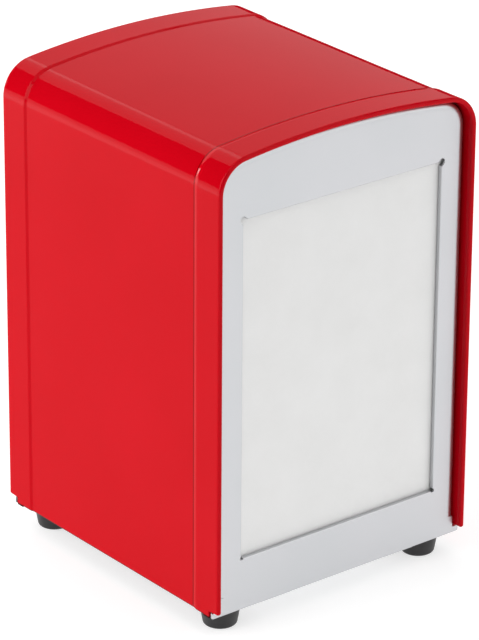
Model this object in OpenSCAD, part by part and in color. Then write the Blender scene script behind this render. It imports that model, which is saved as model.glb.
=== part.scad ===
// Small two-sided table napkin dispenser: a wrapped sheet casing, a tilting faceplate at each end,
// and a sprung follower behind each stack of folded napkins.
// +Z is up, +X is to the right and the front faces -Y. The origin is on the table, under the centre.

/* [Casing] */
// Width over the raised end bands
case_w = 97; // [88:1:130]
// Depth from the front rim to the rear rim
case_d = 105.5; // [96:0.5:150]
// Height from the bottom fold to the top of the crown
case_h = 148; // [140:1:200]
// Sheet thickness of the casing
case_t = 0.8; // [0.6:0.1:1]
// Radius of the rounded top corners
corner_r = 11; // [6:0.5:16]
// Radius of the gentle arch over the top
crown_r = 300; // [200:10:600]
// Width of the raised band at each end
band_w = 12; // [8:0.5:16]
// Height of the raised band above the middle panel
band_rise = 0.4; // [0.3:0.1:1]
// Depth of the hem folded in behind each rim
hem_d = 5; // [3:0.5:7]
// Height at which each rim stops above the bottom fold
rim_gap = 2.4; // [1.5:0.1:4]
// Width of the flange folded in under each side
fold_w = 18; // [16:1:24]

/* [Faceplates] */
// Sheet thickness of the faceplates
face_t = 0.6; // [0.5:0.1:0.8]
// Depth of the faceplate behind the rim
face_recess = 2.8; // [2:0.1:4]
// Depth of the flange around the faceplate
face_flange = 8; // [5:0.5:10]
// Width of the window
win_w = 75; // [50:1:78]
// Height of the window
win_h = 108; // [80:1:108]
// Height of the window sill above the bottom fold
win_sill = 16.8; // [10:0.1:20]
// Depth of the flange turned in around the window
win_flange = 1.5; // [1:0.1:1.6]
// Diameter of the relief holes in the window's upper corners
relief_d = 2.3; // [1.6:0.1:3]
// Diameter of the smaller relief holes in the window's lower corners
relief_low_d = 0.9; // [0.8:0.1:2.3]

/* [Hinges and catches] */
// Diameter of the hinge pins
pin_d = 1.6; // [1.4:0.1:1.8]
// Outer diameter of the rolled hinge knuckles
knuckle_d = 3; // [2.8:0.1:3.2]
// Length of each faceplate knuckle
knuckle_len = 12; // [6:1:14]
// Distance from the middle to the inner end of each faceplate knuckle
knuckle_x = 18; // [12:1:20]
// Length of each base knuckle
base_knuckle_len = 6.4; // [4:0.2:8]
// Width of the leaf catch under the crown
catch_w = 16; // [8:1:30]
// Thickness of the leaf catch
catch_t = 0.5; // [0.3:0.1:0.6]
// Length of the catch that is welded to the casing
catch_weld = 10; // [6:1:14]

/* [Base and feet] */
// Sheet thickness of the base plate
base_t = 0.8; // [0.6:0.1:1.2]
// Height of the pressed runner ribs above the base plate
rib_h = 1.7; // [1.5:0.1:3]
// Height of the feet
foot_h = 7; // [5:0.5:12]
// Diameter of each foot where it meets the casing
foot_top_d = 12.4; // [10:0.2:14]
// Diameter of each foot on the table
foot_bottom_d = 10.6; // [9:0.2:12]
// Distance from the side of the casing to each foot's centre
foot_side = 9.5; // [8.5:0.5:11]
// Distance from the faceplate back to each foot's centre
foot_set_back = 8.1; // [8.1:0.1:12]
// Diameter of the rivet shanks
rivet_d = 3; // [2.4:0.2:3.2]

/* [Napkin feed] */
// Width of a folded napkin
napkin_w = 85; // [60:1:85]
// Height of a folded napkin
napkin_h = 127.5; // [100:0.5:128]
// Thickness of the next napkin, folded
napkin_t = 1; // [0.6:0.1:2]
// Thickness of a full stack behind the next napkin
stack_t = 29.9; // [15:0.1:30]
// Sheet thickness of the followers and the divider
plate_t = 0.8; // [0.6:0.1:1]
// Width of each follower
follower_w = 90; // [70:0.2:90]
// Height of each follower
follower_h = 120; // [90:1:124]
// Depth of the flange around each follower
follower_flange = 8; // [5:0.5:8]
// Height of the divider above the base plate
divider_h = 116; // [90:1:120]
// Outer diameter of the springs
spring_d = 36.4; // [24:0.4:44]
// Wire diameter of the springs
wire_d = 1.4; // [1:0.1:1.6]
// Height of the rim of each spring cup
cup_h = 2.4; // [2:0.1:3]

/* [Hidden] */
$fn = 48;

// Fits and clearances
face_clear = 0.8;
ear_clear = 0.4;
hinge_clear = 0.4;
pin_run = 0.05;
pin_seat = 0.02;
rivet_clear = 0.1;
soft_clear = 0.3;
feed_clear = 0.2;
catch_clear = 0.15;
cup_clear = 0.4;
over = 1;

// The casing's outline: two corner arcs that run smoothly into the arch of the crown
half_w = case_w / 2;
half_d = case_d / 2;
corner_x = half_w - corner_r;
crown_z = case_h - crown_r;
corner_z = crown_z + sqrt(pow(crown_r - corner_r, 2) - pow(corner_x, 2));
lean = asin(corner_x / (crown_r - corner_r));
corner_steps = 12;
crown_steps = 16;

function ray(r, a) = [r * cos(a), r * sin(a)];
function sweep(from, to, steps, first, last) = [for (i = [first:last]) from + (to - from) * i / steps];
function arch(inset, low) = concat(
    [[inset - half_w, low]],
    [for (a = sweep(180, 90 + lean, corner_steps, 0, corner_steps))
        [-corner_x, corner_z] + ray(corner_r - inset, a)],
    [for (a = sweep(90 + lean, 90 - lean, crown_steps, 1, crown_steps - 1))
        [0, crown_z] + ray(crown_r - inset, a)],
    [for (a = sweep(90 - lean, 0, corner_steps, 0, corner_steps))
        [corner_x, corner_z] + ray(corner_r - inset, a)],
    [[half_w - inset, low]]);

// Heights above the bottom fold
base_z = case_t;
floor_z = base_z + base_t;
feed_z = floor_z + rib_h + feed_clear;

// The faceplate and its hinge
hem_t = 2 * case_t;
face_inset = hem_t + face_clear;
face_y = face_recess - half_d;
face_back = face_y + face_t;
knuckle_r = knuckle_d / 2;
pin_r = pin_d / 2;
pivot_y = face_back + knuckle_r;
pivot_z = knuckle_r;
ear_h = rim_gap - ear_clear;
ear_half = half_w - case_t - soft_clear;
flange_low = 6;
relief_r = relief_d / 2;
relief_low_r = relief_low_d / 2;
base_knuckle_x = knuckle_x + knuckle_len + hinge_clear;
pin_end = base_knuckle_x + base_knuckle_len;
base_end = -(pivot_y + knuckle_r + hinge_clear);
fold_end = base_end - feed_clear;
mid_inner = band_rise + case_t;
catch_root = band_w - half_d + over;
catch_inset = face_inset + face_t + catch_clear;
pin_out = 0.5;
relief_run = 0.3;
knuckle_overlap = 0.1;
knuckle_strip = 0.05;

// The napkins and what pushes them
next_y = face_y + win_flange + feed_clear;
stack_y = next_y + napkin_t + soft_clear;
follower_y = stack_y + stack_t + soft_clear;
feed_mid_z = feed_z + follower_h / 2;
half_divider = plate_t / 2;
cup_floor = 0.6;
cup_r = spring_d / 2 + cup_clear + cup_floor;
tab_d = 8;
divider_side = 4;
cup_hole = 4;
slot_w = 3.2;
tongue_w = 2.6;
tongue_len = 3.4;
tongue_drop = 0.2;
slot_x = 22;
rib_r = 2.5;
rib_xs = [14, 30];
rib_margin = 1.5;
rib_gap = 4;
rib_end = base_end - rib_margin;
rib_start = tab_d + rib_gap;
tab_from = 6;
foot_x = half_w - foot_side;
foot_y = half_d - face_recess - foot_set_back;
rivet_r = rivet_d / 2;
rivet_lip = 0.9;
rivet_head_r = rivet_r + rivet_lip;
rivet_head_t = 0.8;
rivet_inner_x = tab_from + rivet_head_r + 1;
rivet_outer_x = half_w - band_rise - fold_w - rivet_head_r - 1;
tab_to = rivet_outer_x + rivet_head_r + 1;
divider_rivet_xs = [-rivet_outer_x, -rivet_inner_x, rivet_inner_x, rivet_outer_x];
recess_r = 3.2;
recess_d = 2.6;
washer_t = 0.6;
foot_round = 1;

// The spring's closed end turns lie a wire apart, and its working turns share the rest
spring_turns = 5.5;
end_turns = 0.75;
turn_steps = 20;
wire_sides = 8;
spring_gap = 0.1;
spring_from = follower_y + plate_t + cup_floor + spring_gap + wire_d / 2;
spring_to = -(half_divider + cup_floor + spring_gap + wire_d / 2);
end_pitch = wire_d + spring_gap;
spring_r = (spring_d - wire_d) / 2;
work_pitch = (spring_to - spring_from - 2 * end_turns * end_pitch) / (spring_turns - 2 * end_turns);

// Colours
red = [0.85, 0.13, 0.14];
satin = [0.84, 0.85, 0.87];
zinc = [0.66, 0.68, 0.7];
paper = [0.93, 0.93, 0.92];
rubber = [0.11, 0.11, 0.12];

// Lifts what is drawn from the bottom fold to its height above the table
module lifted() translate([0, 0, foot_h]) children();

// Extrudes an outline in X and Z along Y
module along_y(from, to) translate([0, to, 0]) rotate([90, 0, 0]) linear_extrude(to - from) children();

// A stretch of sheet that follows the casing's outline, inset from its outer face
module wrap(inset, t, from, to, low = 0)
    along_y(from, to) difference() {
        polygon(arch(inset, low));
        polygon(arch(inset + t, low - over));
    }

// A box between two opposite corners
module between(a, b) translate(a) cube(b - a);

// Draws a part for the front, or mirrors it for the rear
module at_end(rear) mirror([0, rear ? 1 : 0, 0]) children();

module on_both_ends() for (rear = [false, true]) at_end(rear) children();

module on_both_sides() for (side = [0, 1]) mirror([side, 0, 0]) children();

module rod_x(r, from, to) translate([from, 0, 0]) rotate([0, 90, 0]) cylinder(r = r, h = to - from);

module casing() color(red) lifted() difference() {
    union() {
        wrap(band_rise, case_t, band_w - half_d, half_d - band_w);
        on_both_ends() {
            wrap(0, case_t, -half_d, band_w - half_d);
            wrap(0, mid_inner, band_w - half_d - case_t, band_w - half_d);
            wrap(0, hem_t, -half_d, hem_d - half_d, rim_gap);
        }
        on_both_sides()
            between([half_w - band_rise - fold_w, -fold_end, 0],
                [half_w - mid_inner + over / 2, fold_end, case_t]);
    }
    on_both_ends() between([-half_w - over, -half_d - over, -over], [half_w + over, face_y, rim_gap]);
    foot_holes(-over, case_t + over);
}

module at_feet() for (x = [-foot_x, foot_x], y = [-foot_y, foot_y]) translate([x, y, 0]) children();

module foot_holes(from, to) at_feet() translate([0, 0, from])
    cylinder(r = rivet_r + rivet_clear, h = to - from);

module base_plate() color(zinc) lifted() difference() {
    union() {
        between([mid_inner + feed_clear - half_w, -base_end, base_z],
            [half_w - mid_inner - feed_clear, base_end, floor_z]);
        on_both_ends() {
            ribs();
            on_both_sides() base_knuckle();
        }
    }
    on_both_ends() {
        guide_slots();
        on_both_sides() pin_hole(base_knuckle_x - over, pin_end + over, pin_seat);
    }
    foot_holes(0, floor_z + over);
    for (x = divider_rivet_xs) translate([x, sign(x) * tab_d / 2, 0])
        cylinder(r = rivet_r + rivet_clear, h = floor_z + over);
}

module ribs() on_both_sides() for (x = rib_xs) intersection() {
    translate([x, -rib_start, floor_z + rib_h - rib_r]) rotate([90, 0, 0])
        cylinder(r = rib_r, h = rib_end - rib_start);
    between([x - rib_r, -rib_end, base_z + base_t / 2], [x + rib_r, -rib_start, floor_z + rib_h + over]);
}

module base_knuckle() {
    translate([0, pivot_y, pivot_z]) rod_x(knuckle_r, base_knuckle_x, pin_end);
    between([base_knuckle_x, pivot_y + pin_r + pin_seat + knuckle_overlap, base_z],
        [pin_end, over - base_end, floor_z]);
}

module pin_hole(from, to, clear) translate([0, pivot_y, pivot_z]) rod_x(pin_r + clear, from, to);

// Slots in which the follower's tongues run
module guide_slots() on_both_sides()
    between([slot_x - slot_w / 2, stack_y - soft_clear + follower_flange - tongue_len - hinge_clear, 0],
        [slot_x + slot_w / 2, follower_y + follower_flange + hinge_clear, floor_z + over]);

module faceplate(rear) color(satin) lifted() at_end(rear) difference() {
    union() {
        along_y(face_y, face_back) difference() {
            union() {
                polygon(arch(face_inset, 0));
                translate([-ear_half, 0]) square([2 * ear_half, ear_h]);
            }
            translate([-win_w / 2, win_sill]) square([win_w, win_h]);
            for (x = [-win_w / 2, win_w / 2]) {
                translate([x, win_sill]) circle(r = relief_low_r);
                translate([x, win_sill + win_h]) circle(r = relief_r);
            }
        }
        intersection() {
            wrap(face_inset, face_t, face_y, face_y + face_flange);
            between([-half_w, -half_d, flange_low], [half_w, 0, case_h]);
        }
        window_flanges();
        on_both_sides() face_knuckle();
    }
    on_both_sides() pin_hole(knuckle_x - over, knuckle_x + knuckle_len + over, pin_run);
}

module window_flanges() {
    top_run = relief_r + relief_run;
    low_run = relief_low_r + relief_run;
    on_both_sides() between([win_w / 2, face_y, win_sill + low_run],
        [win_w / 2 + face_t, face_y + win_flange, win_sill + win_h - top_run]);
    between([low_run - win_w / 2, face_y, win_sill - face_t],
        [win_w / 2 - low_run, face_y + win_flange, win_sill]);
    between([top_run - win_w / 2, face_y, win_sill + win_h],
        [win_w / 2 - top_run, face_y + win_flange, win_sill + win_h + face_t]);
}

module face_knuckle() {
    translate([0, pivot_y, pivot_z]) rod_x(knuckle_r, knuckle_x, knuckle_x + knuckle_len);
    between([knuckle_x, face_y + face_t / 2, 0],
        [knuckle_x + knuckle_len, pivot_y, pivot_z - pin_r - pin_run - knuckle_strip]);
}

module hinge_pins(rear) color(zinc) lifted() at_end(rear) on_both_sides()
    translate([0, pivot_y, pivot_z]) rod_x(pin_r, knuckle_x - pin_out, pin_end);

// A leaf welded under the crown, whose tip bears up on the faceplate's top flange
module catch_leaf(rear) color(zinc) lifted() at_end(rear) intersection() {
    union() {
        wrap(mid_inner, catch_t, catch_root, catch_root + catch_weld);
        wrap(mid_inner, catch_inset + catch_t - mid_inner, catch_root, catch_root + catch_t);
        wrap(catch_inset, catch_t, face_back + over, catch_root + catch_t);
    }
    between([-catch_w / 2, -half_d, case_h / 2], [catch_w / 2, half_d, case_h]);
}

// A sheet with one tab bent forward and one bent rearward at its foot
module centre_divider() color(zinc) lifted() difference() {
    union() {
        between([mid_inner + divider_side - half_w, -half_divider, floor_z],
            [half_w - mid_inner - divider_side, half_divider, floor_z + divider_h]);
        between([tab_from, -half_divider, floor_z], [tab_to, tab_d, floor_z + plate_t]);
        between([-tab_to, -tab_d, floor_z], [-tab_from, half_divider, floor_z + plate_t]);
    }
    for (x = divider_rivet_xs) translate([x, sign(x) * tab_d / 2, 0])
        cylinder(r = rivet_r + rivet_clear, h = floor_z + plate_t + over);
    translate([0, -over, feed_mid_z]) rotate([-90, 0, 0]) cylinder(r = rivet_r + rivet_clear, h = 2 * over);
}

module rivet(from, to) {
    translate([0, 0, from]) cylinder(r = rivet_r, h = to - from);
    translate([0, 0, from - rivet_head_t]) cylinder(r = rivet_head_r, h = rivet_head_t);
    translate([0, 0, to]) cylinder(r = rivet_head_r, h = rivet_head_t);
}

module divider_rivets() color(zinc) lifted() for (x = divider_rivet_xs)
    translate([x, sign(x) * tab_d / 2, 0]) rivet(base_z, floor_z + plate_t);

// A shallow dish with a hole in its floor, open towards +Z
module cup(hole) difference() {
    cylinder(r = cup_r, h = cup_floor + cup_h);
    translate([0, 0, cup_floor]) cylinder(r = cup_r - cup_floor, h = cup_h + over);
    translate([0, 0, -over]) cylinder(r = hole, h = cup_floor + 2 * over);
}

module divider_cups() color(zinc) lifted() on_both_ends()
    translate([0, -half_divider, feed_mid_z]) rotate([90, 0, 0]) cup(rivet_r + rivet_clear);

module cup_rivet() color(zinc) lifted() translate([0, 0, feed_mid_z]) rotate([90, 0, 0])
    rivet(-half_divider - cup_floor, half_divider + cup_floor);

module follower_cup(rear) color(zinc) lifted() at_end(rear)
    translate([0, follower_y + plate_t, feed_mid_z]) rotate([-90, 0, 0]) cup(cup_hole);

module follower(rear) color(zinc) lifted() at_end(rear) {
    difference() {
        between([-follower_w / 2, follower_y, feed_z],
            [follower_w / 2, follower_y + follower_flange, feed_z + follower_h]);
        between([plate_t - follower_w / 2, follower_y + plate_t, feed_z + plate_t],
            [follower_w / 2 - plate_t, follower_y + follower_flange + over, feed_z + follower_h - plate_t]);
    }
    on_both_sides() between([slot_x - tongue_w / 2, follower_y + follower_flange - tongue_len, tongue_drop],
        [slot_x + tongue_w / 2, follower_y + follower_flange, feed_z + plate_t / 2]);
}

function spring_y(turn) = spring_from
    + end_pitch * (min(turn, end_turns) + max(0, turn - spring_turns + end_turns))
    + work_pitch * max(0, min(turn, spring_turns - end_turns) - end_turns);
function wire_ring(turn) = [for (k = [0:wire_sides - 1])
    let (side = ray(wire_d / 2, 360 * k / wire_sides), r = spring_r + side[0], a = 360 * turn)
    [r * cos(a), spring_y(turn) + side[1], feed_mid_z + r * sin(a)]];

module spring(rear) color(zinc) lifted() at_end(rear) {
    rings = spring_turns * turn_steps;
    polyhedron(
        points = [for (i = [0:rings], p = wire_ring(i / turn_steps)) p],
        faces = concat(
            [[for (k = [0:wire_sides - 1]) k]],
            [[for (k = [0:wire_sides - 1]) rings * wire_sides + wire_sides - 1 - k]],
            [for (i = [0:rings - 1], k = [0:wire_sides - 1]) [i * wire_sides + k, (i + 1) * wire_sides + k,
                (i + 1) * wire_sides + (k + 1) % wire_sides, i * wire_sides + (k + 1) % wire_sides]]));
}

module napkins(rear, from, t) color(paper) lifted() at_end(rear)
    between([-napkin_w / 2, from, feed_z], [napkin_w / 2, from + t, feed_z + napkin_h]);

// A tapered rubber foot with a rounded lower edge, recessed from below for its rivet and washer
module foot(x, y) color(rubber) translate([x * foot_x, y * foot_y, 0]) rotate_extrude()
    difference() {
        union() {
            polygon([[0, foot_round], [foot_bottom_d / 2, foot_round],
                [foot_top_d / 2, foot_h], [0, foot_h]]);
            square([foot_bottom_d / 2 - foot_round, foot_h]);
            translate([foot_bottom_d / 2 - foot_round, foot_round]) circle(r = foot_round);
        }
        translate([-over, -over]) square([over + recess_r, over + recess_d]);
        translate([-over, 0]) square([over + rivet_r + rivet_clear, foot_h + over]);
        translate([-2 * foot_top_d, -over]) square([2 * foot_top_d, foot_h + 2 * over]);
    }

module foot_washers() color(zinc) at_feet() translate([0, 0, recess_d - washer_t]) difference() {
    cylinder(r = recess_r - rivet_clear, h = washer_t);
    translate([0, 0, -over]) cylinder(r = rivet_r + rivet_clear, h = washer_t + 2 * over);
}

module foot_rivets() color(zinc) at_feet() rivet(recess_d - washer_t, foot_h + floor_z);

casing();
base_plate();
faceplate(false);  // front_faceplate
faceplate(true);  // rear_faceplate
hinge_pins(false);  // front_hinge_pins
hinge_pins(true);  // rear_hinge_pins
catch_leaf(false);  // front_catch
catch_leaf(true);  // rear_catch
centre_divider();
divider_rivets();
divider_cups();
cup_rivet();
follower(false);  // front_follower
follower(true);  // rear_follower
follower_cup(false);  // front_follower_cup
follower_cup(true);  // rear_follower_cup
spring(false);  // front_spring
spring(true);  // rear_spring
napkins(false, next_y, napkin_t);  // front_next_napkin
napkins(true, next_y, napkin_t);  // rear_next_napkin
napkins(false, stack_y, stack_t);  // front_napkin_stack
napkins(true, stack_y, stack_t);  // rear_napkin_stack
foot(-1, -1);  // foot_front_left
foot(1, -1);  // foot_front_right
foot(-1, 1);  // foot_rear_left
foot(1, 1);  // foot_rear_right
foot_washers();
foot_rivets();
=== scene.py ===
import math
import random

import bmesh
import bpy
from mathutils import Matrix, Vector
from mathutils.geometry import tessellate_polygon
from mathutils.noise import noise


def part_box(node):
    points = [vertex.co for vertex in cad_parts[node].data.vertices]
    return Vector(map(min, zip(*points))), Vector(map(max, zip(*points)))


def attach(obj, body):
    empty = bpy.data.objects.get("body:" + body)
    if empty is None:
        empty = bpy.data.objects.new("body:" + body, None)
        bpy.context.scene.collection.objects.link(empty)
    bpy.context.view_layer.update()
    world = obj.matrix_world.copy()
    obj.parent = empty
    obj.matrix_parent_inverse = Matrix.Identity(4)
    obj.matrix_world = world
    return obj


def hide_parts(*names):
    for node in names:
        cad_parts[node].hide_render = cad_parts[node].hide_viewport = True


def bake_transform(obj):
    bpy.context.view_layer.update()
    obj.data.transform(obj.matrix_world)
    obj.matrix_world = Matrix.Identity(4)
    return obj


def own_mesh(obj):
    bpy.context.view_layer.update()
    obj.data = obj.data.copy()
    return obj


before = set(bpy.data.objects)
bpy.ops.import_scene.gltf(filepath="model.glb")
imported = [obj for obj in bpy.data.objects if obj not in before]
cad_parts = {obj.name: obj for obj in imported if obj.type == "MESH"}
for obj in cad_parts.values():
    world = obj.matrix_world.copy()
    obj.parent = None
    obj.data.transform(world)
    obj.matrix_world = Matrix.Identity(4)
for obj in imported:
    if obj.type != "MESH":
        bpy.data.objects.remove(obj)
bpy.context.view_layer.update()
MM = 0.001
SAME = 1e-6  # two lengths in mm closer than this are the same

# ---------------------------------------------------------------- camera
YAW, PITCH, ROLL = math.radians(38.723), math.radians(23.547), math.radians(0.402)
CAMERA_AT = (-0.6929, -0.8657, 0.5569)
forward = Vector((math.sin(YAW) * math.cos(PITCH), math.cos(YAW) * math.cos(PITCH), -math.sin(PITCH)))
level = Vector((math.cos(YAW), -math.sin(YAW), 0))
upright = level.cross(forward)
right = math.cos(ROLL) * level + math.sin(ROLL) * upright
up = -math.sin(ROLL) * level + math.cos(ROLL) * upright
camera = bpy.data.objects.new("camera", bpy.data.cameras.new("camera"))
bpy.context.scene.collection.objects.link(camera)
rotation = Matrix((right, up, -forward)).transposed().to_4x4()
camera.matrix_world = Matrix.Translation(CAMERA_AT) @ rotation
camera.data.lens = 223.2
camera.data.sensor_width = 36
camera.data.clip_start = 0.01
camera.data.clip_end = 50
bpy.context.scene.camera = camera
bpy.context.scene.view_settings.view_transform = "Standard"

# ---------------------------------------------------------------- sizes from the frame, in mm
case_low, case_high = (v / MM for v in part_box("casing"))
pin_low, pin_high = (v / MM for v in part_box("front_hinge_pins"))

HALF_W, HALF_D = case_high.x, case_high.y
FOLD_Z = case_low.z  # the underside of the casing's bottom flanges
SHEET = 0.8  # the casing's sheet
CORNER_R, CROWN_R = 11.0, 300.0
CORNER_X = HALF_W - CORNER_R
CROWN_Z = case_high.z - CROWN_R
CORNER_Z = CROWN_Z + math.sqrt((CROWN_R - CORNER_R) ** 2 - CORNER_X**2)
LEAN = math.asin(CORNER_X / (CROWN_R - CORNER_R))
FACE_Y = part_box("front_faceplate")[0].y / MM
PIVOT_Y = (pin_low.y + pin_high.y) / 2
PIVOT_Z = (pin_low.z + pin_high.z) / 2
RIM_Z = FOLD_Z + 2.4  # the lower end of the rolled rims

# the casing's creases: outer and inner end of each slope, as distances from the middle
CREASE_DEPTH, CREASE_STEPS = 0.4, 12
REAR_CREASE, FRONT_CREASE = (42.0, 40.6), (42.6, 40.2)


# ---------------------------------------------------------------- materials
def material(name, color, rough, metal=0.0, **sockets):
    m = bpy.data.materials.new(name)
    m.use_nodes = True
    bsdf = m.node_tree.nodes["Principled BSDF"]
    bsdf.inputs["Base Color"].default_value = (*color, 1)
    bsdf.inputs["Roughness"].default_value = rough
    bsdf.inputs["Metallic"].default_value = metal
    for key, value in sockets.items():
        bsdf.inputs[key.replace("_", " ")].default_value = value
    return m, m.node_tree, bsdf


def coords(tree, scale=(1, 1, 1)):
    source = tree.nodes.new("ShaderNodeTexCoord")
    mapping = tree.nodes.new("ShaderNodeMapping")
    mapping.inputs["Scale"].default_value = scale
    tree.links.new(source.outputs["Object"], mapping.inputs["Vector"])
    return mapping.outputs["Vector"]


def noise_node(tree, vector, scale, detail=3.0, rough=0.5):
    n = tree.nodes.new("ShaderNodeTexNoise")
    n.inputs["Scale"].default_value = scale
    n.inputs["Detail"].default_value = detail
    n.inputs["Roughness"].default_value = rough
    tree.links.new(vector, n.inputs["Vector"])
    return n.outputs["Fac"]


def ramp(tree, fac, low, high, at=(0.3, 0.7)):
    r = tree.nodes.new("ShaderNodeValToRGB")
    r.color_ramp.elements[0].position, r.color_ramp.elements[1].position = at
    r.color_ramp.elements[0].color = (*low, 1)
    r.color_ramp.elements[1].color = (*high, 1)
    tree.links.new(fac, r.inputs["Fac"])
    return r.outputs["Color"]


def spread(tree, fac, low, high):
    r = tree.nodes.new("ShaderNodeMapRange")
    r.inputs["To Min"].default_value = low
    r.inputs["To Max"].default_value = high
    tree.links.new(fac, r.inputs["Value"])
    return r.outputs["Result"]


def step_up(tree, value, start, end):
    """0 where value is below start and 1 above end, both in mm."""
    r = tree.nodes.new("ShaderNodeMapRange")
    r.inputs["From Min"].default_value = start * MM
    r.inputs["From Max"].default_value = end * MM
    tree.links.new(value, r.inputs["Value"])
    return r.outputs["Result"]


def over_dark(tree, fac, dark, color):
    """The dark colour where fac is 0, and the linked colour where it is 1."""
    m = tree.nodes.new("ShaderNodeMix")
    m.data_type = "RGBA"
    m.inputs[6].default_value = (*dark, 1)
    tree.links.new(fac, m.inputs[0])
    tree.links.new(color, m.inputs[7])
    return m.outputs[2]


def bump(tree, bsdf, height, distance, strength=1.0, before=None):
    b = tree.nodes.new("ShaderNodeBump")
    b.inputs["Strength"].default_value = strength
    b.inputs["Distance"].default_value = distance
    tree.links.new(height, b.inputs["Height"])
    if before is not None:
        tree.links.new(before, b.inputs["Normal"])
    tree.links.new(b.outputs["Normal"], bsdf.inputs["Normal"])
    return b.outputs["Normal"]


def enamel():
    m, tree, bsdf = material("red_enamel", (0.55, 0.001, 0.003), 0.3, Specular_IOR_Level=0.0)
    bsdf.inputs["Coat Weight"].default_value = 0.33
    bsdf.inputs["Coat Roughness"].default_value = 0.03
    bsdf.inputs["Coat IOR"].default_value = 1.3
    v = coords(tree)
    split = tree.nodes.new("ShaderNodeSeparateXYZ")
    tree.links.new(v, split.inputs["Vector"])
    color = ramp(tree, noise_node(tree, v, 22, 4), (0.52, 0.0006, 0.006), (0.55, 0.0012, 0.008))
    # painted shade: the underside of the bottom flanges and the lowest part of the bend above it are painted
    # nearly black, as the shade under the casing
    above = step_up(tree, split.outputs["Z"], FOLD_Z + 0.4, FOLD_Z + 0.8)
    color = over_dark(tree, above, (0.03, 0.0005, 0.001), color)
    # the shade that sits in the foot of the front crease
    from_line = tree.nodes.new("ShaderNodeMath")
    from_line.operation = "ADD"
    from_line.inputs[1].default_value = (FRONT_CREASE[1] + 0.25) * MM
    tree.links.new(split.outputs["Y"], from_line.inputs[0])
    distance = tree.nodes.new("ShaderNodeMath")
    distance.operation = "ABSOLUTE"
    tree.links.new(from_line.outputs[0], distance.inputs[0])
    clear = step_up(tree, distance.outputs[0], 0.12, 0.42)
    color = over_dark(tree, clear, (0.26, 0.0005, 0.001), color)
    tree.links.new(color, bsdf.inputs["Base Color"])
    tree.links.new(spread(tree, noise_node(tree, v, 90, 3), 0.24, 0.36), bsdf.inputs["Roughness"])
    peel = bump(tree, bsdf, noise_node(tree, v, 420, 2), 0.00001, 0.5)
    tree.links.new(peel, bsdf.inputs["Coat Normal"])
    return m


def satin_steel():
    m, tree, bsdf = material("satin_steel", (0.60, 0.61, 0.63), 0.3, 1.0)
    v = coords(tree)
    color = ramp(tree, noise_node(tree, v, 26, 3), (0.575, 0.588, 0.605), (0.605, 0.608, 0.628))
    tree.links.new(color, bsdf.inputs["Base Color"])
    streak = noise_node(tree, coords(tree, (1, 1, 14)), 260, 4, 0.7)
    tree.links.new(spread(tree, streak, 0.26, 0.42), bsdf.inputs["Roughness"])
    bump(tree, bsdf, streak, 0.000004, 0.6)
    return m


def zinc():
    m, tree, bsdf = material("zinc_plate", (0.6, 0.62, 0.64), 0.42, 1.0)
    v = coords(tree)
    cell = tree.nodes.new("ShaderNodeTexVoronoi")
    cell.inputs["Scale"].default_value = 160
    tree.links.new(v, cell.inputs["Vector"])
    color = ramp(tree, cell.outputs["Color"], (0.50, 0.52, 0.55), (0.66, 0.68, 0.70), (0.1, 0.9))
    tree.links.new(color, bsdf.inputs["Base Color"])
    tree.links.new(spread(tree, noise_node(tree, v, 120), 0.32, 0.5), bsdf.inputs["Roughness"])
    bump(tree, bsdf, noise_node(tree, v, 700, 2), 0.00001, 0.4)
    return m


def fixings():
    m, tree, bsdf = material("fixings", (0.62, 0.62, 0.61), 0.3, 1.0)
    v = coords(tree)
    color = ramp(tree, noise_node(tree, v, 300), (0.50, 0.50, 0.50), (0.70, 0.70, 0.68))
    tree.links.new(color, bsdf.inputs["Base Color"])
    tree.links.new(spread(tree, noise_node(tree, v, 900), 0.2, 0.42), bsdf.inputs["Roughness"])
    return m


def spring_steel():
    m, tree, bsdf = material("spring_steel", (0.34, 0.34, 0.36), 0.3, 1.0)
    v = coords(tree)
    color = ramp(tree, noise_node(tree, v, 400), (0.26, 0.27, 0.29), (0.42, 0.42, 0.43))
    tree.links.new(color, bsdf.inputs["Base Color"])
    tree.links.new(spread(tree, noise_node(tree, v, 1100), 0.2, 0.4), bsdf.inputs["Roughness"])
    return m


def paper():
    m, tree, bsdf = material("napkin_paper", (0.83, 0.83, 0.82), 0.95, 0.0, Specular_IOR_Level=0.15)
    v = coords(tree)
    fibre = noise_node(tree, coords(tree, (1, 1, 3)), 700, 6, 0.7)
    cloud = noise_node(tree, v, 60, 5, 0.6)
    color = ramp(tree, cloud, (0.815, 0.815, 0.808), (0.845, 0.845, 0.84))
    tree.links.new(color, bsdf.inputs["Base Color"])
    first = bump(tree, bsdf, fibre, 0.00008, 0.5)
    quilt = tree.nodes.new("ShaderNodeTexVoronoi")
    quilt.inputs["Scale"].default_value = 520
    tree.links.new(v, quilt.inputs["Vector"])
    bump(tree, bsdf, quilt.outputs["Distance"], 0.00006, 0.4, first)
    return m


def rubber():
    m, tree, bsdf = material("black_rubber", (0.0105, 0.0088, 0.0095), 0.42, 0.0, Specular_IOR_Level=0.5)
    v = coords(tree)
    color = ramp(tree, noise_node(tree, v, 240, 4), (0.006, 0.005, 0.006), (0.014, 0.013, 0.014))
    tree.links.new(color, bsdf.inputs["Base Color"])
    tree.links.new(spread(tree, noise_node(tree, v, 500), 0.36, 0.55), bsdf.inputs["Roughness"])
    bump(tree, bsdf, noise_node(tree, v, 1800, 3), 0.00004, 0.5)
    return m


MATERIALS = {
    "red_enamel": enamel(),
    "satin_steel": satin_steel(),
    "zinc_plate": zinc(),
    "fixings": fixings(),
    "spring_steel": spring_steel(),
    "napkin_paper": paper(),
    "black_rubber": rubber(),
}


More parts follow.
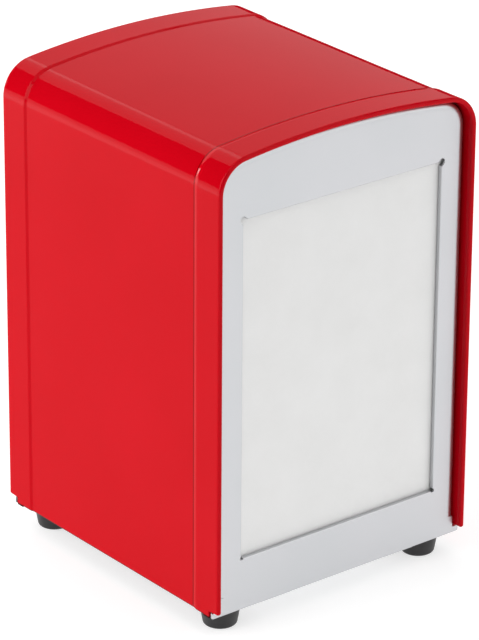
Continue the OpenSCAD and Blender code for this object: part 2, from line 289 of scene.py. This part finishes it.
# ---------------------------------------------------------------- mesh helpers
def mesh_piece(name, verts, faces, slot, sharp, sharpen_again=False):
    """A smooth-shaded piece from points in mm, welded and turned outward, with edges sharp above an angle."""
    mesh = bpy.data.meshes.new(name)
    mesh.from_pydata([Vector(v) * MM for v in verts], [], faces)
    mesh.validate()
    mesh.update()
    for p in mesh.polygons:
        p.use_smooth = True
    mesh.set_sharp_from_angle(angle=math.radians(sharp))
    obj = bpy.data.objects.new(name, mesh)
    bpy.context.scene.collection.objects.link(obj)
    mesh.materials.append(MATERIALS[slot])
    bm = bmesh.new()
    bm.from_mesh(mesh)
    bmesh.ops.remove_doubles(bm, verts=bm.verts, dist=1e-7)
    bmesh.ops.recalc_face_normals(bm, faces=bm.faces)
    bm.to_mesh(mesh)
    bm.free()
    mesh.update()
    if sharpen_again:
        mesh.set_sharp_from_angle(angle=math.radians(sharp))
    return obj


def weighted(obj):
    m = obj.modifiers.new("weighted", "WEIGHTED_NORMAL")
    m.mode = "FACE_AREA"
    m.weight = 100
    m.keep_sharp = True


def strip_faces(faces, one, two):
    """Joins two rows of points with quads."""
    for i in range(len(one) - 1):
        faces.append((one[i], one[i + 1], two[i + 1], two[i]))


def arc(centre, radius, start, end, steps):
    """Points on an arc, from one angle to another in degrees."""
    out = []
    for i in range(steps + 1):
        a = math.radians(start + (end - start) * i / steps)
        out.append((centre[0] + radius * math.cos(a), centre[1] + radius * math.sin(a)))
    return out


def offset_chain(points, out):
    """Moves each point of an open line to its outer side by out; the first and last keep their places."""
    moved = [points[0]]
    for before, here, after in zip(points, points[1:], points[2:]):
        normals = []
        for a, b in ((before, here), (here, after)):
            dx, dz = b[0] - a[0], b[1] - a[1]
            length = math.hypot(dx, dz)
            normals.append((-dz / length, dx / length))
        nx, nz = normals[0][0] + normals[1][0], normals[0][1] + normals[1][1]
        scale = 2 / max(0.6, nx * nx + nz * nz)
        moved.append((here[0] + nx * scale * out, here[1] + nz * scale * out))
    return moved + [points[-1]]


# The outline as stations: each is a function from the depth below the outer face to a point in X and Z
def side_station(sign, z):
    return lambda depth: (sign * (HALF_W - depth), z)


def arc_station(cx, cz, radius, angle):
    nx, nz = math.cos(angle), math.sin(angle)
    return lambda depth: (cx + (radius - depth) * nx, cz + (radius - depth) * nz)


def outline(low, side_steps, corner_steps, crown_steps):
    """Stations from the lower end of the left side, over the top, to the lower end of the right side."""
    height = CORNER_Z - low
    zs = [low, low + 0.4] + [low + height * i / side_steps for i in range(1, side_steps)] + [CORNER_Z - 0.5]
    right_side = [side_station(1, z) for z in reversed(zs)]
    half_pi = math.pi / 2
    out = [side_station(-1, z) for z in zs]
    for i in range(corner_steps + 1):
        a = math.pi + (half_pi + LEAN - math.pi) * i / corner_steps
        out.append(arc_station(-CORNER_X, CORNER_Z, CORNER_R, a))
    for i in range(1, crown_steps):
        a = half_pi + LEAN - 2 * LEAN * i / crown_steps
        out.append(arc_station(0, CROWN_Z, CROWN_R, a))
    for i in range(corner_steps + 1):
        a = half_pi - LEAN + (LEAN - half_pi) * i / corner_steps
        out.append(arc_station(CORNER_X, CORNER_Z, CORNER_R, a))
    return out + right_side


# ---------------------------------------------------------------- casing
SLIT_IN, SLIT_OUT = 45.45, 45.75  # the cut between the bottom flange and the ears beside it
HEM_END = HALF_D - 5.0  # where the folded rim ends, inside
EAR_END = 48.4  # the ears stop here to leave room for a tilted faceplate
HEM_R = 0.8  # the fold of the rim, outside
BEND_R = 0.9  # the bend between side and bottom flange, outside
FLANGE_X = HALF_W - 0.7 - 18.0  # the inner edge of the bottom flange


def casing_columns():
    """The casing's length from rear to front, as pairs of Y and inset; the front crease is the wider one."""

    def half(crease_out, crease_in):
        out = [(y, 0.0) for y in (EAR_END, EAR_END - 0.2, HEM_END, 46.6, SLIT_OUT, SLIT_IN, 44.6, 43.6)]
        out.append((crease_out + 0.4, 0.0))
        for i in range(CREASE_STEPS + 1):
            s = i / CREASE_STEPS
            drop = CREASE_DEPTH * (0.5 - 0.5 * math.cos(math.pi * s))
            out.append((crease_out + (crease_in - crease_out) * s, drop))
        return out + [(y, CREASE_DEPTH) for y in (crease_in - 0.3, 38.8, 36.0, 31.0, 25.0, 18.0, 10.0)]

    middle = [(3.0, CREASE_DEPTH), (-3.0, CREASE_DEPTH)]
    return half(*REAR_CREASE) + middle + [(-y, inset) for y, inset in reversed(half(*FRONT_CREASE))]


def casing_hem():
    """The folded rim seen from the side, as pairs of Y and depth below the outer face."""
    straight = HALF_D - HEM_R
    hem = [(straight - 1.2, 0.0), (straight - 0.3, 0.0)]
    for i in range(16):
        a = math.radians(12 * i)
        hem.append((straight + HEM_R * math.sin(a), HEM_R - HEM_R * math.cos(a)))
    inside = 2 * SHEET
    hem += [(straight - 0.4, inside), (HALF_D - 2.6, inside), (HEM_END + 0.3, inside)]
    return hem + [(HEM_END + 0.1, inside - 0.05), (HEM_END, inside - 0.2), (HEM_END, SHEET + 0.15)]


def dent(x, y, z, amount):
    """How far the pressed sheet dips at a point."""
    return amount * (0.5 + 0.5 * noise(Vector((x * 0.021 + 5.1, y * 0.03 + 1.7, z * 0.021 + 9.3))))


def casing():
    verts, faces = [], []
    columns, hem = casing_columns(), casing_hem()
    n = len(columns)
    inner = [i for i, c in enumerate(columns) if abs(c[0]) <= HEM_END + SAME]

    def add(p):
        verts.append(p)
        return len(verts) - 1

    def skin_point(station, column, depth):
        y, inset = column
        x, z = station(inset + depth)
        calm = min(1.0, max(0.0, (HALF_D - 1.5 - abs(y)) / 6.0))
        x, z = station(inset + depth + dent(x, y, z, 0.10 if inset > 0.3 else 0.05) * calm)
        return add((x, y, z))

    def hem_points(station, side, shrink):
        out = []
        for y, depth in hem:
            y2 = y - shrink * max(0.0, y - (HALF_D - 1.2)) * 0.8
            x, z = station(depth + (SHEET - depth) * shrink)
            out.append(add((x, side * y2, z)))
        return out

    def full_ring(station, shrink):
        """One cut across the casing: outer face, front rim, inner face and rear rim."""
        outer = [skin_point(station, c, 0) for c in columns]
        front = hem_points(station, -1, shrink)
        inside = [skin_point(station, columns[i], SHEET) for i in reversed(inner)]
        rear = hem_points(station, 1, shrink)
        return {"outer": outer, "front": front, "inner": inside, "rear": list(reversed(rear))}

    def closed(ring):
        return ring["outer"] + ring["front"] + ring["inner"] + ring["rear"] + [ring["outer"][0]]

    def level_rows(ids, sign, z, outer_depth, inner_depth, has_inner):
        """A level row of outer points and one of inner points, at the given depths below the side's face."""
        outer, inside = {}, {}
        for i in ids:
            y, inset = columns[i]
            outer[i] = add((sign * (HALF_W - inset - outer_depth), y, z))
            if i in has_inner:
                inside[i] = add((sign * (HALF_W - inset - inner_depth), y, z))
        return outer, inside

    def join(ids, one, two):
        for p, q in zip(ids, ids[1:]):
            faces.append((one[p], one[q], two[q], two[p]))

    def wall(i, outer_1, inner_1, outer_2, inner_2):
        faces.append((outer_1[i], inner_1[i], inner_2[i], outer_2[i]))

    stations = outline(RIM_Z, 14, 26, 44)
    last = len(stations) - 1
    rings = [full_ring(s, 0.3 if k in (0, last) else 0.0) for k, s in enumerate(stations)]
    for one, two in zip(rings, rings[1:]):
        strip_faces(faces, closed(one), closed(two))

    for end, sign in ((0, -1), (-1, 1)):
        ring, station = rings[end], stations[end]
        x, z = station(SHEET)
        front_corner, rear_corner = add((x, -EAR_END, z)), add((x, EAR_END, z))
        faces.append([ring["outer"][-1]] + ring["front"] + [ring["inner"][0], front_corner])
        faces.append([ring["outer"][0]] + list(reversed(ring["rear"])) + [ring["inner"][-1], rear_corner])
        outer_0 = dict(enumerate(ring["outer"]))
        inner_0 = {i: ring["inner"][j] for j, i in enumerate(reversed(inner))}
        inner_0[n - 1], inner_0[0] = front_corner, rear_corner
        present = [i for i in range(n) if i in inner_0]
        slits = [i for i, c in enumerate(columns) if abs(abs(c[0]) - SLIT_IN) < SAME]
        flange = list(range(slits[0], slits[1] + 1))

        # the side goes straight down to the start of the bottom bend
        outer_1, inner_1 = level_rows(range(n), sign, FOLD_Z + BEND_R, 0.0, SHEET, inner_0)
        join(range(n), outer_0, outer_1)
        join(present, inner_0, inner_1)
        for i in (0, n - 1):
            wall(i, outer_0, inner_0, outer_1, inner_1)
        for p, q in ((slits[0] - 1, slits[0]), (slits[1], slits[1] + 1)):
            faces.append((outer_1[p], outer_1[q], inner_1[q], inner_1[p]))

        # the ears beside the slits end straight
        for ids in ([i for i in present if i < slits[0]], [i for i in present if i > slits[1]]):
            outer_ids = list(range(ids[0], ids[-1] + 1))
            outer_2, inner_2 = level_rows(outer_ids, sign, FOLD_Z, 0.1, SHEET - 0.1, inner_1)
            join(outer_ids, outer_1, outer_2)
            join(ids, inner_1, inner_2)
            for i in (ids[0], ids[-1]):
                wall(i, outer_1, inner_1, outer_2, inner_2)
            for p, q in zip(ids, ids[1:]):
                between = [outer_2[i] for i in outer_ids if p <= i <= q]
                faces.append(between + [inner_2[q], inner_2[p]])

        # the rest bends in under the base plate, to the flange's inner edge
        flange_rows = []
        for a in (math.radians(d) for d in range(15, 91, 15)):
            radii = (BEND_R, BEND_R - SHEET)
            flange_rows.append([(BEND_R - r * math.cos(a), BEND_R - r * math.sin(a), True) for r in radii])
        for x in (44.5, 40.0, 35.0, 31.0, FLANGE_X):
            flange_rows.append([(HALF_W - x, z, False) for z in (0.0, SHEET)])
        before = (outer_1, inner_1)
        for points in flange_rows:
            now = ({}, {})
            for i in flange:
                y, inset = columns[i]
                for row, (from_side, z, follows_crease) in zip(now, points):
                    x = HALF_W - from_side - (inset if follows_crease else 0.0)
                    row[i] = add((sign * x, y, FOLD_Z + z))
            join(flange, before[0], now[0])
            join(flange, before[1], now[1])
            for i in (flange[0], flange[-1]):
                wall(i, *before, *now)
            before = now
        for p, q in zip(flange, flange[1:]):
            faces.append((before[0][p], before[0][q], before[1][q], before[1][p]))

    obj = mesh_piece("casing_shell", verts, faces, "red_enamel", 40, sharpen_again=True)
    weighted(obj)
    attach(obj, "root")
    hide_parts("casing")


# ---------------------------------------------------------------- faceplates
PLATE = 0.6  # the faceplate's sheet
EDGE = 2.4  # the gap between the casing's outer face and the plate's outer flange
ROLL_DEEP, ROLL_WIDE = 1.3, 2.3  # the rolled edge, from front to back and across
FLANGE_END_Y = FACE_Y + 8.0  # the outer flange's rear edge
FLANGE_LOW_Z = FOLD_Z + 6.0  # its lower end
EAR_X, EAR_TOP = HALF_W - 0.15, FOLD_Z + 2.0  # the plate's lower ears
WIN_X, SILL, HEAD = 37.5, FOLD_Z + 16.8, FOLD_Z + 124.8
FOLD_R = 0.35  # the edge of the window, where the sheet turns in
LOW_RELIEF, TOP_RELIEF = 0.45, 1.15  # radii of the holes in the window's corners
KNUCKLE_IN, KNUCKLE_OUT = 18.0, 30.0  # the hinge knuckles' ends in X
KNUCKLE_R, KNUCKLE_BORE = 1.5, 0.86  # their outer and inner radii


def edge_profile():
    """The rolled outer edge and its flange, as pairs of depth below the casing's outline and Y."""

    def rolled(deep, wide, angles):
        for a in (math.radians(d) for d in angles):
            yield (EDGE + ROLL_WIDE - wide * math.sin(a), FACE_Y + ROLL_DEEP - deep * math.cos(a))

    start_y = FACE_Y + 2.2
    out = list(rolled(ROLL_DEEP, ROLL_WIDE, range(0, 91, 9)))
    out += [(EDGE, start_y), (EDGE, FLANGE_END_Y - 0.2), (EDGE + 0.1, FLANGE_END_Y)]
    out += [(EDGE + PLATE - 0.1, FLANGE_END_Y), (EDGE + PLATE, FLANGE_END_Y - 0.2), (EDGE + PLATE, start_y)]
    return out + list(rolled(ROLL_DEEP - PLATE, ROLL_WIDE - PLATE, range(90, -1, -15)))


def lower_outline():
    """The plate's lower part, from the end of the right flange round both ears to the left one."""
    wall_x = HALF_W - EDGE
    half = [(wall_x - ROLL_WIDE, FLANGE_LOW_Z - 0.001), (wall_x - 0.2, FLANGE_LOW_Z - 0.2)]
    half += [(wall_x, FLANGE_LOW_Z - 0.5), (wall_x, EAR_TOP + 0.4), (wall_x + 0.15, EAR_TOP + 0.05)]
    half += [(EAR_X - 0.4, EAR_TOP), (EAR_X - 0.1, EAR_TOP - 0.1), (EAR_X, EAR_TOP - 0.4)]
    half += [(EAR_X, FOLD_Z + 0.5), (EAR_X - 0.15, FOLD_Z + 0.15), (EAR_X - 0.5, FOLD_Z)]
    return half + [(-x, z) for x, z in reversed(half)]


def window_outline():
    """The window's edge with its corner holes, and where each corner's points start and stop."""
    corners = [((WIN_X, SILL), LOW_RELIEF, 180, 450), ((WIN_X, HEAD), TOP_RELIEF, -90, 180)]
    corners += [((-WIN_X, HEAD), TOP_RELIEF, 0, 270), ((-WIN_X, SILL), LOW_RELIEF, 90, 360)]
    loop, marks = [], []
    for (cx, cz), relief, start, stop in corners:
        run = relief + 0.3
        step = math.degrees(math.asin(FOLD_R / relief))
        sx = 1 if cx > 0 else -1
        sz = 1 if cz > (SILL + HEAD) / 2 else -1
        hole = arc((cx, cz), relief, start + step, stop - step, 18)
        on_side = (cx + sx * FOLD_R, cz - sz * run)
        on_level = (cx - sx * run, cz + sz * FOLD_R)
        points = [on_level] + hole + [on_side] if sx * sz < 0 else [on_side] + hole + [on_level]
        marks.append((len(loop), len(loop) + len(points) - 1))
        loop += points
    return loop, marks


def faceplate(name, node, body, end):
    """end is -1 for the front and 1 for the rear; shapes are drawn for the front and mirrored."""
    verts, faces = [], []

    def add(x, y, z):
        verts.append((x, -y * end, z))
        return len(verts) - 1

    def waviness(x, z):
        return 0.084 * noise(Vector((x * 0.063, 3.3, z * 0.063)))

    profile = edge_profile()
    rings = []
    for station in outline(FLANGE_LOW_Z, 12, 22, 36):
        ring = []
        for depth, y in profile:
            x, z = station(depth)
            ring.append(add(x, y + (waviness(x, z) if y > FACE_Y + 3 else 0.0), z))
        rings.append(ring)
    for one, two in zip(rings, rings[1:]):
        strip_faces(faces, one, two)
    faces += [rings[0], rings[-1]]

    # the flat front and back, with the window cut out
    lower = lower_outline()
    loop, marks = window_outline()
    front_outer, back_outer = [r[0] for r in rings], [r[-1] for r in rings]
    low_front = [add(x, FACE_Y, z) for x, z in offset_chain(lower, -0.35)]
    low_back = [add(x, FACE_Y + PLATE, z) for x, z in lower]
    front_hole = [add(x, FACE_Y, z) for x, z in loop]
    back_hole = [add(x, FACE_Y + PLATE, z) for x, z in loop]
    for outer, hole in ((front_outer + low_front, front_hole), (back_outer + low_back, back_hole)):
        ids = outer + hole
        lines = [[Vector((verts[i][0], verts[i][2], 0)) for i in line] for line in (outer, hole)]
        faces += [tuple(ids[i] for i in triangle) for triangle in tessellate_polygon(lines)]

    # the lower part's edge, softly rounded
    edges = [low_front]
    for depth, out in ((0.04, 0.18), (0.14, 0.3), (0.35, 0.35)):
        edges.append([add(x, FACE_Y + depth, z) for x, z in offset_chain(lower, out - 0.35)])
    chains = [[front_outer[-1]] + ids + [front_outer[0]] for ids in edges]
    chains.append([back_outer[-1]] + low_back + [back_outer[0]])
    for one, two in zip(chains, chains[1:]):
        for i in range(len(one) - 1):
            faces.append(tuple(dict.fromkeys((one[i], one[i + 1], two[i + 1], two[i]))))

    # the window's corner holes, and between them the edges that turn in
    inside = []
    for a in (math.radians(d) for d in range(15, 91, 15)):
        inside.append((FOLD_R - FOLD_R * math.sin(a), FOLD_R - FOLD_R * math.cos(a)))
    inside += [(0.0, 1.35), (0.07, 1.5), (PLATE - 0.07, 1.5), (PLATE, 1.35), (PLATE, PLATE + 0.05)]
    for k, (start, stop) in enumerate(marks):
        strip_faces(faces, front_hole[start : stop + 1], back_hole[start : stop + 1])
        i, j = stop, marks[(k + 1) % 4][0]
        upright_edge = abs(loop[i][0] - loop[j][0]) < SAME
        rows = []
        for at in (i, j):
            x, z = loop[at]
            row = [front_hole[at]]
            for off, depth in inside:
                if upright_edge:
                    row.append(add(math.copysign(WIN_X + off, x), FACE_Y + depth, z))
                else:
                    level_z = HEAD + off if z > (SILL + HEAD) / 2 else SILL - off
                    row.append(add(x, FACE_Y + depth, level_z))
            rows.append(row + [back_hole[at]])
        strip_faces(faces, *rows)
        faces += rows

    # rolled knuckles: a strip that runs back from the lower edge and curls round the pin
    section = [(FACE_Y + 0.1, FOLD_Z)] + arc((PIVOT_Y, PIVOT_Z), KNUCKLE_R, -90, 200, 26)
    section += arc((PIVOT_Y, PIVOT_Z), KNUCKLE_BORE, 200, -90, 26) + [(FACE_Y + 0.1, FOLD_Z + PLATE)]
    half = len(section) // 2
    cuts = [(KNUCKLE_IN, 0.08), (KNUCKLE_IN + 0.15, 0.0), (KNUCKLE_OUT - 0.15, 0.0), (KNUCKLE_OUT, 0.08)]
    for side in (-1, 1):
        ends = []
        for x, thinner in cuts:
            ring = []
            for y, z in section:
                dy, dz = PIVOT_Y - y, PIVOT_Z - z
                dist = max(SAME, math.hypot(dy, dz))
                pull = (thinner if dist > 1.2 else -thinner) / dist
                ring.append(add(side * x, y + dy * pull, z + dz * pull))
            ends.append(ring)
        for one, two in zip(ends, ends[1:]):
            strip_faces(faces, one + one[:1], two + two[:1])
        for ring in (ends[0], ends[-1]):
            for i in range(half - 1):
                faces.append((ring[i], ring[i + 1], ring[-2 - i], ring[-1 - i]))

    obj = mesh_piece(name, verts, faces, "satin_steel", 40, sharpen_again=True)
    weighted(obj)
    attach(obj, body)
    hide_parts(node)


# ---------------------------------------------------------------- feet
def foot(node):
    """A moulded foot, turned round its axis, with a recess from below for the rivet's head."""
    low, high = (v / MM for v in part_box(node))
    cx, cy = (low.x + high.x) / 2, (low.y + high.y) / 2
    top_r, tall = (high.x - low.x) / 2, high.z
    base_r, hole_r, recess_r, recess_top = 5.3, 1.62, 3.2, 2.6
    profile = [(recess_r, recess_top), (recess_r, 0.25), (recess_r + 0.1, 0.06), (recess_r + 0.3, 0.0)]
    profile += [(base_r - 1.15, 0.0)] + arc((base_r - 1.1, 1.1), 1.1, -80, 0, 8)
    for s in (0.15, 0.35, 0.55, 0.75, 0.92):
        profile.append((base_r + (top_r - base_r) * s**0.9, 1.1 + (tall - 1.5) * s))
    profile += [(top_r, tall - 0.25), (top_r - 0.05, tall - 0.07), (top_r - 0.3, tall)]
    profile += [(hole_r, tall), (hole_r, recess_top)]
    steps, verts, faces = 56, [], []
    for k in range(steps):
        a = 2 * math.pi * k / steps
        verts += [(cx + r * math.cos(a), cy + r * math.sin(a), z) for r, z in profile]
    m = len(profile)
    rings = [[k * m + i for i in range(m)] + [k * m] for k in range(steps)]
    for one, two in zip(rings, rings[1:] + rings[:1]):
        strip_faces(faces, one, two)
    obj = mesh_piece(node + "_rubber", verts, faces, "black_rubber", 50, sharpen_again=True)
    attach(obj, "root")
    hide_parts(node)


# ---------------------------------------------------------------- napkins
def leaf(verts, faces, x_range, y_range, z_range, wobble, seed):
    """A folded napkin: a soft slab whose side folds are round and whose faces are a little uneven."""
    (x0, x1), (y0, y1), (z0, z1) = x_range, y_range, z_range
    nx, nz = 18, 24
    r, mid = (y1 - y0) / 2, (y0 + y1) / 2
    fold = [(-1, 0.0), (-0.9, 0.55), (-0.6, 0.86), (-0.2, 0.98)]
    xs = [(x0 + r * (1 + s), h) for s, h in fold]
    xs += [(x0 + r + (x1 - x0 - 2 * r) * (i + 1) / nx, 1.0) for i in range(nx - 1)]
    xs += [(x1 - r * (1 + s), h) for s, h in reversed(fold)]
    zs = [z0, z0 + 0.12] + [z0 + (z1 - z0) * (i + 1) / nz for i in range(nz - 1)] + [z1 - 0.12, z1]
    wide, tall, start = len(xs), len(zs), len(verts)
    for side in (-1, 1):
        for j, z in enumerate(zs):
            rim = 0.86 if j in (0, tall - 1) else 1.0
            for x, h in xs:
                bulge = wobble * noise(Vector((x * 0.05 + seed, side * 2.0 + seed, z * 0.05)))
                verts.append((x, mid + side * (r * h * rim - abs(bulge)), z))
    back = [[start + j * wide + i for i in range(wide)] for j in range(tall)]
    front = [[start + (tall + j) * wide + i for i in range(wide)] for j in range(tall)]
    for sheet in (back, front):
        for one, two in zip(sheet, sheet[1:]):
            strip_faces(faces, one, two)
    for i in (0, -1):
        strip_faces(faces, [row[i] for row in back], [row[i] for row in front])
        strip_faces(faces, back[i], front[i])


def next_napkin(name, node, seed):
    low, high = (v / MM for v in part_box(node))
    verts, faces = [], []
    leaf(verts, faces, (low.x, high.x), (low.y, high.y), (low.z, high.z), 0.06, seed)
    obj = mesh_piece(name, verts, faces, "napkin_paper", 60)
    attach(obj, "root")
    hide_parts(node)


def stack(name, node, sign):
    """The napkins behind the next one."""
    low, high = (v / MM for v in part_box(node))
    verts, faces = [], []
    rng = random.Random(11 if sign < 0 else 23)
    count, gap = 22, 0.04
    thick = (high.y - low.y) / count
    for k in range(count):
        y0 = low.y + k * thick + gap / 2
        dx, dz = rng.uniform(0, 0.5), rng.uniform(0, 0.7)
        left = rng.uniform(0, 0.5)
        x_range, z_range = (low.x + left, high.x - dx), (low.z, high.z - dz)
        leaf(verts, faces, x_range, (y0, y0 + thick - gap), z_range, 0.03, 13.0 + k)
    obj = mesh_piece(name, verts, faces, "napkin_paper", 60)
    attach(obj, "root")
    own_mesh(obj)
    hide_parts(node)


# ---------------------------------------------------------------- springs
def spring(name, node, sign):
    """A coil with closed ends, which stretches from the divider to the follower."""
    low, high = (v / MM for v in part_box(node))
    wire = 1.4
    radius = (high.x - low.x - wire) / 2
    near = (min(abs(low.y), abs(high.y)) + wire / 2) * sign
    far = (max(abs(low.y), abs(high.y)) - wire / 2) * sign
    mid_z = (low.z + high.z) / 2
    turns, end_turns, per_turn, sides = 5.5, 0.75, 44, 12
    end_pitch = wire + 0.1
    pitch = (abs(far - near) - 2 * end_turns * end_pitch) / (turns - 2 * end_turns)

    def travel(t):
        open_turns = max(0.0, min(t, turns - end_turns) - end_turns)
        closed_turns = min(t, end_turns) + max(0.0, t - turns + end_turns)
        return end_pitch * closed_turns + pitch * open_turns

    verts, faces = [], []
    count = int(turns * per_turn)
    for i in range(-1, count + 2):
        t = min(max(i, 0), count) / per_turn
        # the first and last rings round the wire's ends off
        thickness = wire / 2 * (0.45 if i in (-1, count + 1) else 1.0)
        past = -0.12 if i == -1 else 0.12 if i == count + 1 else 0.0
        a = 2 * math.pi * t + past / radius
        y = far - sign * travel(t)
        for b in (2 * math.pi * k / sides for k in range(sides)):
            r = radius + thickness * math.cos(b)
            verts.append((r * math.cos(a), y + thickness * math.sin(b), mid_z + r * math.sin(a)))
    rings = [[i * sides + k for k in range(sides)] for i in range(count + 3)]
    for one, two in zip(rings, rings[1:]):
        strip_faces(faces, one + one[:1], two + two[:1])
    faces += [rings[0], rings[-1]]
    obj = mesh_piece(name, verts, faces, "spring_steel", 50)
    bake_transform(obj)
    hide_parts(node)


# ---------------------------------------------------------------- pieces that replace CAD nodes
casing()
faceplate("front_faceplate_sheet", "front_faceplate", "front_face", -1)
faceplate("rear_faceplate_sheet", "rear_faceplate", "rear_face", 1)
for node in ("foot_front_left", "foot_front_right", "foot_rear_left", "foot_rear_right"):
    foot(node)
next_napkin("front_next_napkin_fold", "front_next_napkin", 1.0)
next_napkin("rear_next_napkin_fold", "rear_next_napkin", 7.0)
stack("front_napkin_stack_folds", "front_napkin_stack", -1)
stack("rear_napkin_stack_folds", "rear_napkin_stack", 1)
spring("front_spring_coil", "front_spring", -1)
spring("rear_spring_coil", "rear_spring", 1)

# ---------------------------------------------------------------- CAD nodes that stay
KEPT = {  # its material, and how wide its edges are bevelled in mm
    "base_plate": ("zinc_plate", 0.18),
    "front_hinge_pins": ("fixings", 0.12),
    "rear_hinge_pins": ("fixings", 0.12),
    "front_catch": ("spring_steel", 0.1),
    "rear_catch": ("spring_steel", 0.1),
    "centre_divider": ("zinc_plate", 0.18),
    "divider_rivets": ("fixings", 0.25),
    "divider_cups": ("zinc_plate", 0.15),
    "cup_rivet": ("fixings", 0.25),
    "front_follower": ("zinc_plate", 0.2),
    "rear_follower": ("zinc_plate", 0.2),
    "front_follower_cup": ("zinc_plate", 0.15),
    "rear_follower_cup": ("zinc_plate", 0.15),
    "foot_washers": ("fixings", 0.12),
    "foot_rivets": ("fixings", 0.25),
}
for node, (slot_name, bevel_width) in KEPT.items():
    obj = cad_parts[node]
    obj.data.materials.clear()
    obj.data.materials.append(MATERIALS[slot_name])
    weld = obj.modifiers.new("weld", "WELD")
    weld.merge_threshold = 1e-6
    bevel = obj.modifiers.new("bevel", "BEVEL")
    bevel.width = bevel_width * MM
    bevel.segments = 2
    bevel.limit_method = "ANGLE"
    bevel.angle_limit = math.radians(40)
    bevel.harden_normals = False
    weighted(obj)

# ---------------------------------------------------------------- floor and lights
floor_mat, _, floor_bsdf = material("floor", (0.5, 0.5, 0.5), 0.8, Specular_IOR_Level=0.05)
# the floor glows a little, as a lit table does
floor_bsdf.inputs["Emission Color"].default_value = (1, 1, 1, 1)
floor_bsdf.inputs["Emission Strength"].default_value = 0.66
bpy.ops.mesh.primitive_circle_add(vertices=96, radius=1.15, fill_type="NGON")
floor = bpy.context.object
floor.name = "floor"
floor.data.materials.append(floor_mat)

world = bpy.data.worlds.new("studio")
world.use_nodes = True
sky = world.node_tree
sky.nodes["Background"].inputs["Color"].default_value = (1, 1, 1, 1)
# white to look at, but nearly no light on the object
rays = sky.nodes.new("ShaderNodeLightPath")
strength = spread(sky, rays.outputs["Is Camera Ray"], 0.02, 1.0)
sky.links.new(strength, sky.nodes["Background"].inputs["Strength"])
bpy.context.scene.world = world


LIT_POINT = Vector((0, 0, 0.08))  # every light faces the middle of the object


def softbox(name, azimuth, elevation, distance, width, height, radiance):
    """A soft light, in degrees and metres; azimuth runs from +Y toward +X."""
    data = bpy.data.lights.new(name, "AREA")
    data.shape = "RECTANGLE"
    data.size, data.size_y = width, height
    data.energy = math.pi * width * height * radiance
    obj = bpy.data.objects.new(name, data)
    bpy.context.scene.collection.objects.link(obj)
    az, el = math.radians(azimuth), math.radians(elevation)
    to_light = Vector((math.sin(az) * math.cos(el), math.cos(az) * math.cos(el), math.sin(el)))
    obj.location = LIT_POINT + to_light * distance
    obj.rotation_euler = (-to_light).to_track_quat("-Z", "Y").to_euler()
    obj.visible_camera = False


softbox("overhead", 180, 83, 1.65, 2.6, 2.2, 1.1)
softbox("back_left_half", 6, 31, 1.5, 0.86, 1.07, 1.95)
softbox("back_right_half", 42, 31, 1.5, 1.0, 1.07, 1.3)
softbox("left", -70, 24, 1.75, 1.4, 1.4, 3.4)
softbox("front_right", 148, 20, 1.8, 3.2, 1.6, 1.22)
softbox("horizon_card", -42, -1, 0.5, 0.7, 0.14, 2.2)
softbox("back_glint", -11, 4, 1.4, 0.3, 0.28, 16)
